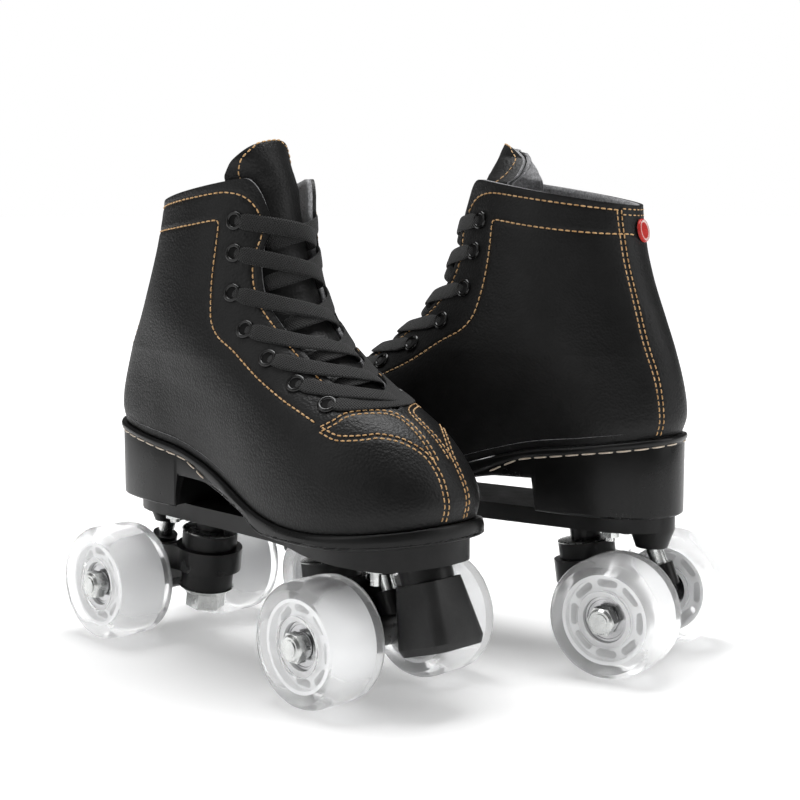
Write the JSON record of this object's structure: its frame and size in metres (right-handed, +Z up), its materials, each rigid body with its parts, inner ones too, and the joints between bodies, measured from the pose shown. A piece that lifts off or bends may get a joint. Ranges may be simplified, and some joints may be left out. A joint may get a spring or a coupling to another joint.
{
  "type": "pair of quad roller skates",
  "caption": "Pair of lace-up quad roller skates: black boots on moulded plates, sprung steering trucks, clear wheels on bearings and front toe stops.",
  "frame": {"origin": "middle of the pair's footprint, on the floor the wheels stand on", "axes": "+Z up, +X from the heel to the toe of the right skate, +Y from the right skate to the left one; the left skate faces back past it"},
  "size_m": [0.2798, 0.2376, 0.2517],
  "materials": {
    "upper_leather": "fine grained, semi-matt",
    "tongue_leather": "fine grained, semi-matt",
    "lining_fleece": "short soft fleece",
    "outsole_rubber": "semi-gloss",
    "lace_cord": "braided",
    "eyelet_enamel": "black enamel",
    "badge_plastic": "printed gloss",
    "plate_nylon": "fine texture",
    "hardware_zinc": "zinc plated",
    "stop_rubber": "matt",
    "hanger_paint": "satin black",
    "cushion_rubber": "matt",
    "tyre_clear": "clear cast polyurethane",
    "core_milky": "milky white",
    "bearing_steel": "polished rings, dark shields"
  },
  "bodies": {
    "right_skate": {"right_boot_upper": "upper_leather", "right_boot_lining": "lining_fleece", "right_boot_tongue": "tongue_leather", "right_boot_overlays": "upper_leather", "right_outsole": "outsole_rubber", "right_laces": "lace_cord", "right_eyelets": "eyelet_enamel", "right_size_badge": "badge_plastic", "right_plate": "plate_nylon", "right_kingpins": "hardware_zinc", "right_fasteners": "hardware_zinc", "right_toe_stop": "stop_rubber"},
    "right_front_truck": {"right_front_hanger": "hanger_paint", "right_front_cushions": "cushion_rubber", "right_front_axle": "hardware_zinc"},
    "right_front_outer_wheel": {"right_front_outer_tyre": "tyre_clear", "right_front_outer_core": "core_milky", "right_front_outer_bearings": "bearing_steel"},
    "right_front_inner_wheel": {"right_front_inner_tyre": "tyre_clear", "right_front_inner_core": "core_milky", "right_front_inner_bearings": "bearing_steel"},
    "right_rear_truck": {"right_rear_hanger": "hanger_paint", "right_rear_cushions": "cushion_rubber", "right_rear_axle": "hardware_zinc"},
    "right_rear_outer_wheel": {"right_rear_outer_tyre": "tyre_clear", "right_rear_outer_core": "core_milky", "right_rear_outer_bearings": "bearing_steel"},
    "right_rear_inner_wheel": {"right_rear_inner_tyre": "tyre_clear", "right_rear_inner_core": "core_milky", "right_rear_inner_bearings": "bearing_steel"},
    "left_skate": {"left_boot_upper": "upper_leather", "left_boot_lining": "lining_fleece", "left_boot_tongue": "tongue_leather", "left_boot_overlays": "upper_leather", "left_outsole": "outsole_rubber", "left_laces": "lace_cord", "left_eyelets": "eyelet_enamel", "left_size_badge": "badge_plastic", "left_plate": "plate_nylon", "left_kingpins": "hardware_zinc", "left_fasteners": "hardware_zinc", "left_toe_stop": "stop_rubber"},
    "left_front_truck": {"left_front_hanger": "hanger_paint", "left_front_cushions": "cushion_rubber", "left_front_axle": "hardware_zinc"},
    "left_front_outer_wheel": {"left_front_outer_tyre": "tyre_clear", "left_front_outer_core": "core_milky", "left_front_outer_bearings": "bearing_steel"},
    "left_front_inner_wheel": {"left_front_inner_tyre": "tyre_clear", "left_front_inner_core": "core_milky", "left_front_inner_bearings": "bearing_steel"},
    "left_rear_truck": {"left_rear_hanger": "hanger_paint", "left_rear_cushions": "cushion_rubber", "left_rear_axle": "hardware_zinc"},
    "left_rear_outer_wheel": {"left_rear_outer_tyre": "tyre_clear", "left_rear_outer_core": "core_milky", "left_rear_outer_bearings": "bearing_steel"},
    "left_rear_inner_wheel": {"left_rear_inner_tyre": "tyre_clear", "left_rear_inner_core": "core_milky", "left_rear_inner_bearings": "bearing_steel"}
  },
  "joints": [
    {"name": "left_skate_lift", "type": "slide", "parent": "right_skate", "child": "left_skate", "axis": [0, 0, 1], "range_m": [0, 0.25]},
    {"name": "right_front_truck_steer", "type": "hinge", "parent": "right_skate", "child": "right_front_truck", "pos_m": [0.01657, -0.06556, 0.0412], "axis": [0.8928, 0, 0.4504], "range_deg": [-6, 6], "stiffness_Nm_per_rad": 40, "deforming": ["right_front_cushions"]},
    {"name": "right_rear_truck_steer", "type": "hinge", "parent": "right_skate", "child": "right_rear_truck", "pos_m": [-0.08043, -0.06556, 0.0412], "axis": [-0.8928, 0, 0.4504], "range_deg": [-6, 6], "stiffness_Nm_per_rad": 40, "deforming": ["right_rear_cushions"]},
    {"name": "left_front_truck_steer", "type": "hinge", "parent": "left_skate", "child": "left_front_truck", "pos_m": [-0.02259, 0.03392, 0.0412], "axis": [-0.8681, -0.2084, 0.4504], "range_deg": [-6, 6], "stiffness_Nm_per_rad": 40, "deforming": ["left_front_cushions"]},
    {"name": "left_rear_truck_steer", "type": "hinge", "parent": "left_skate", "child": "left_rear_truck", "pos_m": [0.07173, 0.05656, 0.0412], "axis": [0.8681, 0.2084, 0.4504], "range_deg": [-6, 6], "stiffness_Nm_per_rad": 40, "deforming": ["left_rear_cushions"]},
    {"name": "right_front_outer_wheel_spin", "type": "hinge", "parent": "right_front_truck", "child": "right_front_outer_wheel", "pos_m": [0.04707, -0.10056, 0.029], "axis": [0, 1, 0], "continuous": true},
    {"name": "right_front_inner_wheel_spin", "type": "hinge", "parent": "right_front_truck", "child": "right_front_inner_wheel", "pos_m": [0.04707, -0.03056, 0.029], "axis": [0, 1, 0], "continuous": true},
    {"name": "right_rear_outer_wheel_spin", "type": "hinge", "parent": "right_rear_truck", "child": "right_rear_outer_wheel", "pos_m": [-0.11093, -0.10056, 0.029], "axis": [0, 1, 0], "continuous": true},
    {"name": "right_rear_inner_wheel_spin", "type": "hinge", "parent": "right_rear_truck", "child": "right_rear_inner_wheel", "pos_m": [-0.11093, -0.03056, 0.029], "axis": [0, 1, 0], "continuous": true},
    {"name": "left_front_outer_wheel_spin", "type": "hinge", "parent": "left_front_truck", "child": "left_front_outer_wheel", "pos_m": [-0.04408, -0.00724, 0.029], "axis": [0.2334, -0.9724, 0], "continuous": true},
    {"name": "left_front_inner_wheel_spin", "type": "hinge", "parent": "left_front_truck", "child": "left_front_inner_wheel", "pos_m": [-0.06042, 0.06083, 0.029], "axis": [0.2334, -0.9724, 0], "continuous": true},
    {"name": "left_rear_outer_wheel_spin", "type": "hinge", "parent": "left_rear_truck", "child": "left_rear_outer_wheel", "pos_m": [0.10956, 0.02965, 0.029], "axis": [0.2334, -0.9724, 0], "continuous": true},
    {"name": "left_rear_inner_wheel_spin", "type": "hinge", "parent": "left_rear_truck", "child": "left_rear_inner_wheel", "pos_m": [0.09322, 0.09771, 0.029], "axis": [0.2334, -0.9724, 0], "continuous": true}
  ]
}
